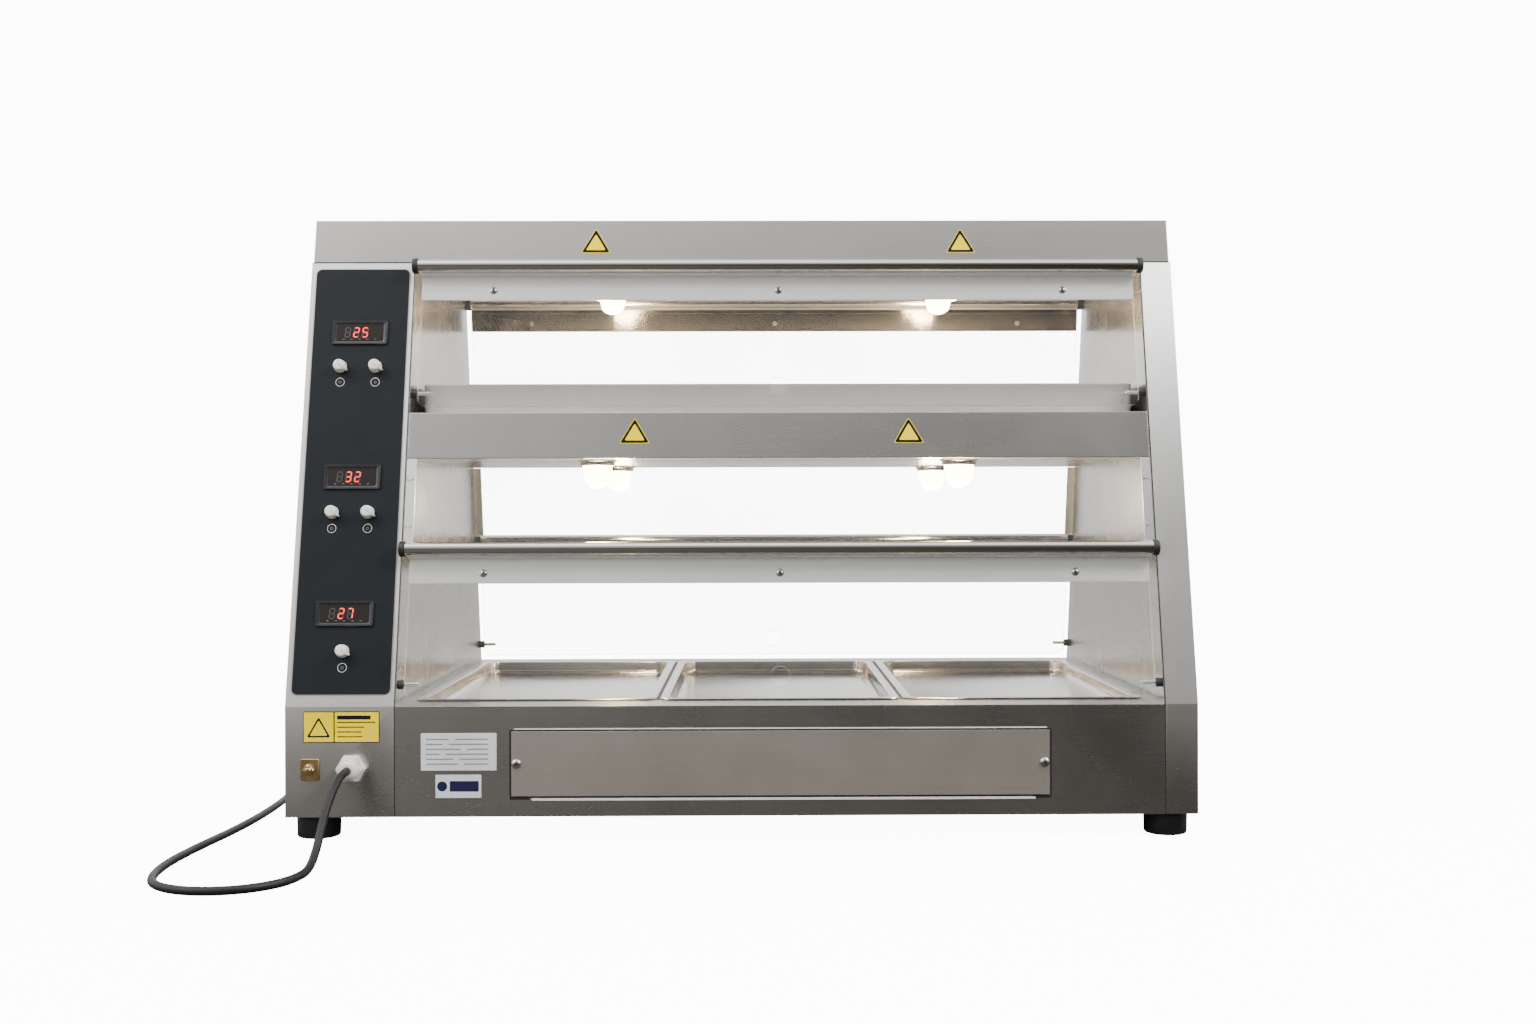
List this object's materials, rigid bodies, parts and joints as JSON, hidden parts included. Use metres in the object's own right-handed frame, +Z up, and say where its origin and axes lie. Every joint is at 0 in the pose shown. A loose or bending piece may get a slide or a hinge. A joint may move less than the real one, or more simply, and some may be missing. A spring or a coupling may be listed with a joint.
{
  "type": "electric buffet server",
  "caption": "Countertop heated food display cabinet with two tiers, lift-out pans, warming lamps, clear swing-down flaps and a side control column.",
  "frame": {"origin": "on the floor, in the middle of the object's outline without its loose cord", "axes": "+X to the right of someone facing the controls, -Y out of the control side, +Z up"},
  "size_m": [1.3049, 1.1442, 0.841],
  "materials": {
    "brushed_shell": "brushed",
    "brushed_inside": "satin",
    "pan_steel": "polished",
    "rail_aluminium": "satin",
    "screw_steel": "polished",
    "clear_pane": "clear",
    "frosted_glass": "frosted",
    "bulb_glass": "glowing",
    "black_rubber": "matte",
    "black_plastic": "matte",
    "overlay_film": "satin",
    "display_window": "gloss",
    "cream_plastic": "satin",
    "white_plastic": "matte",
    "heating_rod": "oxidised",
    "terminal_brass": "bare",
    "cord_jacket": "satin"
  },
  "bodies": {
    "cabinet": {"base_floor_plate": "brushed_shell", "base_front_panel": "brushed_shell", "base_heating_elements": "heating_rod", "base_rear_panel": "brushed_shell", "cable_gland": "white_plastic", "control_overlay": "overlay_film", "cord_coil": "cord_jacket", "display_windows": "display_window", "earth_terminal": "terminal_brass", "front_fixed_pane": "clear_pane", "hood_cover": "brushed_shell", "hood_lamp_plate": "brushed_inside", "lamp_bulbs": "bulb_glass", "lamp_domes": "frosted_glass", "lamp_flanges": "pan_steel", "left_column_cover": "brushed_shell", "left_inner_wall": "brushed_inside", "pivot_bushes": "black_plastic", "plug_body": "cord_jacket", "plug_pins": "screw_steel", "power_cord": "cord_jacket", "rear_fixed_pane": "clear_pane", "right_column_cover": "brushed_shell", "right_inner_wall": "brushed_inside", "rotary_switches": "black_plastic", "rubber_feet": "black_rubber", "service_panel": "brushed_shell", "service_panel_screws": "screw_steel", "shelf_heating_elements": "heating_rod", "shelf_housing": "brushed_shell", "shelf_lamp_plate": "brushed_inside", "side_posts": "brushed_shell", "temperature_controllers": "black_plastic", "top_deck": "brushed_inside"},
    "front_lower_flap": {"front_lower_flap_pane": "clear_pane", "front_lower_flap_pins_and_screws": "screw_steel", "front_lower_flap_rail": "rail_aluminium", "front_lower_flap_rail_caps": "black_rubber"},
    "front_upper_flap": {"front_upper_flap_pane": "clear_pane", "front_upper_flap_pins_and_screws": "screw_steel", "front_upper_flap_rail": "rail_aluminium", "front_upper_flap_rail_caps": "black_rubber"},
    "rear_lower_flap": {"rear_lower_flap_pane": "clear_pane", "rear_lower_flap_pins_and_screws": "screw_steel", "rear_lower_flap_rail": "rail_aluminium", "rear_lower_flap_rail_caps": "black_rubber"},
    "rear_upper_flap": {"rear_upper_flap_pane": "clear_pane", "rear_upper_flap_pins_and_screws": "screw_steel", "rear_upper_flap_rail": "rail_aluminium", "rear_upper_flap_rail_caps": "black_rubber"},
    "upper_left_knob": {"upper_left_knob": "cream_plastic"},
    "upper_right_knob": {"upper_right_knob": "cream_plastic"},
    "middle_left_knob": {"middle_left_knob": "cream_plastic"},
    "middle_right_knob": {"middle_right_knob": "cream_plastic"},
    "lower_knob": {"lower_knob": "cream_plastic"},
    "left_pan": {"left_pan": "pan_steel"},
    "middle_pan": {"middle_pan": "pan_steel"},
    "right_pan": {"right_pan": "pan_steel"},
    "shelf_tray": {"shelf_tray": "pan_steel"}
  },
  "joints": [
    {"name": "front_lower_flap_swing", "type": "hinge", "parent": "cabinet", "child": "front_lower_flap", "pos_m": [0.05, -0.29228, 0.204], "axis": [1, 0, 0], "range_deg": [0, 150]},
    {"name": "front_upper_flap_swing", "type": "hinge", "parent": "cabinet", "child": "front_upper_flap", "pos_m": [0.05, -0.20569, 0.5946], "axis": [1, 0, 0], "range_deg": [0, 150]},
    {"name": "rear_lower_flap_swing", "type": "hinge", "parent": "cabinet", "child": "rear_lower_flap", "pos_m": [0.05, 0.32028, 0.204], "axis": [-1, 0, 0], "range_deg": [0, 150]},
    {"name": "rear_upper_flap_swing", "type": "hinge", "parent": "cabinet", "child": "rear_upper_flap", "pos_m": [0.05, 0.23369, 0.5946], "axis": [-1, 0, 0], "range_deg": [0, 150]},
    {"name": "upper_left_knob_turn", "type": "hinge", "parent": "cabinet", "child": "upper_left_knob", "pos_m": [-0.5515, -0.20735, 0.631], "axis": [0, 0.9763, -0.2164], "range_deg": [0, 90]},
    {"name": "upper_right_knob_turn", "type": "hinge", "parent": "cabinet", "child": "upper_right_knob", "pos_m": [-0.5035, -0.20735, 0.631], "axis": [0, 0.9763, -0.2164], "range_deg": [0, 90]},
    {"name": "middle_left_knob_turn", "type": "hinge", "parent": "cabinet", "child": "middle_left_knob", "pos_m": [-0.5515, -0.25169, 0.431], "axis": [0, 0.9763, -0.2164], "range_deg": [0, 90]},
    {"name": "middle_right_knob_turn", "type": "hinge", "parent": "cabinet", "child": "middle_right_knob", "pos_m": [-0.5035, -0.25169, 0.431], "axis": [0, 0.9763, -0.2164], "range_deg": [0, 90]},
    {"name": "lower_knob_turn", "type": "hinge", "parent": "cabinet", "child": "lower_knob", "pos_m": [-0.5275, -0.29226, 0.248], "axis": [0, 0.9763, -0.2164], "range_deg": [0, 90]},
    {"name": "left_pan_lift", "type": "slide", "parent": "cabinet", "child": "left_pan", "axis": [0, 0, 1], "range_m": [0, 0.1]},
    {"name": "middle_pan_lift", "type": "slide", "parent": "cabinet", "child": "middle_pan", "axis": [0, 0, 1], "range_m": [0, 0.1]},
    {"name": "right_pan_lift", "type": "slide", "parent": "cabinet", "child": "right_pan", "axis": [0, 0, 1], "range_m": [0, 0.1]},
    {"name": "shelf_tray_lift", "type": "slide", "parent": "cabinet", "child": "shelf_tray", "axis": [0, 0, 1], "range_m": [0, 0.05]}
  ]
}
